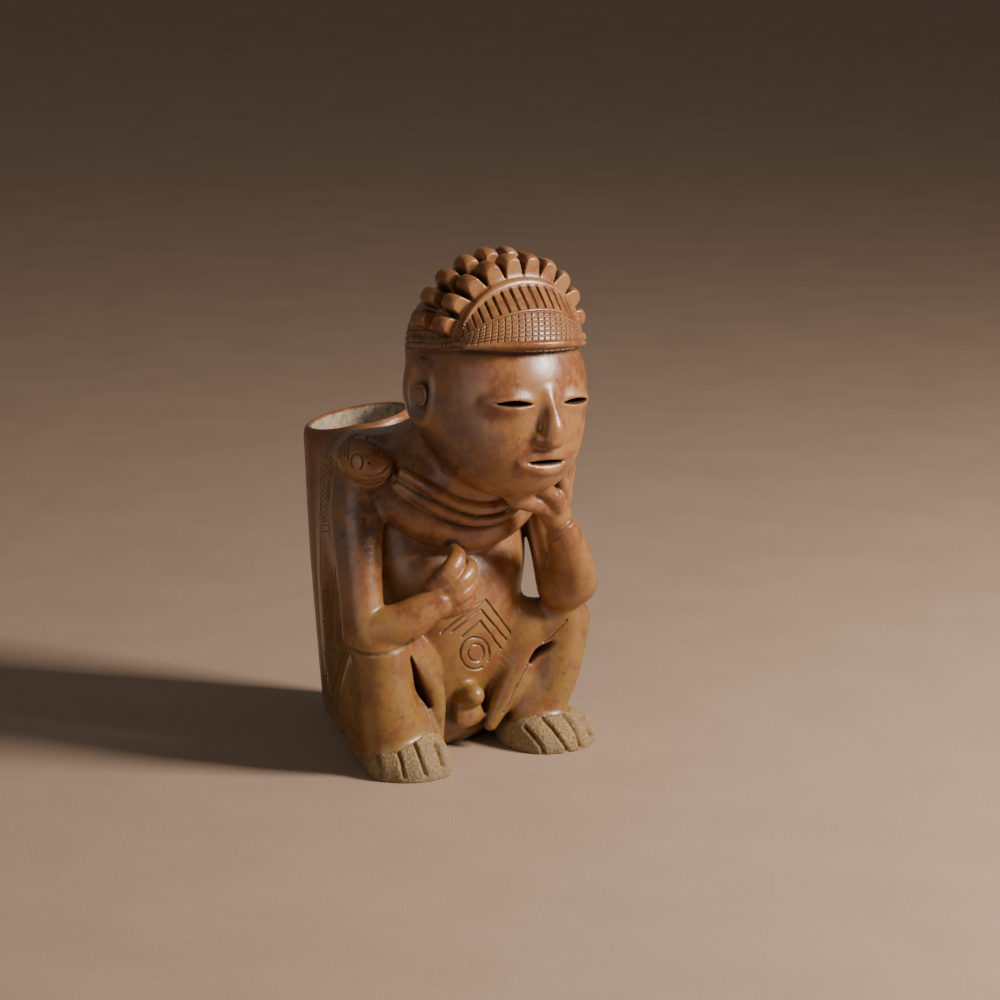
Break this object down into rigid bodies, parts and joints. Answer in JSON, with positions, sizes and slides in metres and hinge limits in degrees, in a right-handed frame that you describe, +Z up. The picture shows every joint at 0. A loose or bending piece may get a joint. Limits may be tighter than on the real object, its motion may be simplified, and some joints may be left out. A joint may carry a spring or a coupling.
{
  "type": "effigy vessel",
  "caption": "Hollow fired-clay effigy vessel: a squatting figure rests its chin on its hand and carries a tall open basket on its back as the mouth of the vessel.",
  "frame": {"origin": "on the ground, under the middle of the whole vessel's bounding box", "axes": "+Z up; the figure faces -Y, its left side is +X and the basket is on the +Y side"},
  "size_m": [0.1976, 0.2866, 0.3608],
  "materials": {
    "burnished_clay": "burnished slip, semi-gloss, mottled orange-brown with dark fire clouds",
    "basket_clay": "burnished reddish slip outside, pale matt interior",
    "sandy_clay": "worn, gritty, matt ochre clay"
  },
  "bodies": {
    "root": {"head": "burnished_clay", "nose": "burnished_clay", "upper_lip": "burnished_clay", "lower_lip": "burnished_clay", "right_ear_rim": "burnished_clay", "right_ear_spool": "burnished_clay", "left_ear_rim": "burnished_clay", "left_ear_spool": "burnished_clay", "front_crest": "burnished_clay", "rear_crest": "burnished_clay", "headdress_cap": "burnished_clay", "brow_edge": "burnished_clay", "fan": "burnished_clay", "headband": "burnished_clay", "basket": "basket_clay", "torso": "burnished_clay", "neck": "burnished_clay", "chest": "burnished_clay", "lower_neck_strand": "burnished_clay", "upper_neck_strand": "burnished_clay", "right_thigh": "burnished_clay", "right_shin": "burnished_clay", "right_foot": "sandy_clay", "left_thigh": "burnished_clay", "left_shin": "burnished_clay", "left_foot": "sandy_clay", "front_boss": "burnished_clay", "right_upper_arm": "burnished_clay", "right_forearm": "burnished_clay", "right_hand": "burnished_clay", "right_serpent_head": "burnished_clay", "left_upper_arm": "burnished_clay", "left_forearm": "burnished_clay", "left_hand": "burnished_clay", "left_serpent_head": "burnished_clay"}
  },
  "joints": []
}
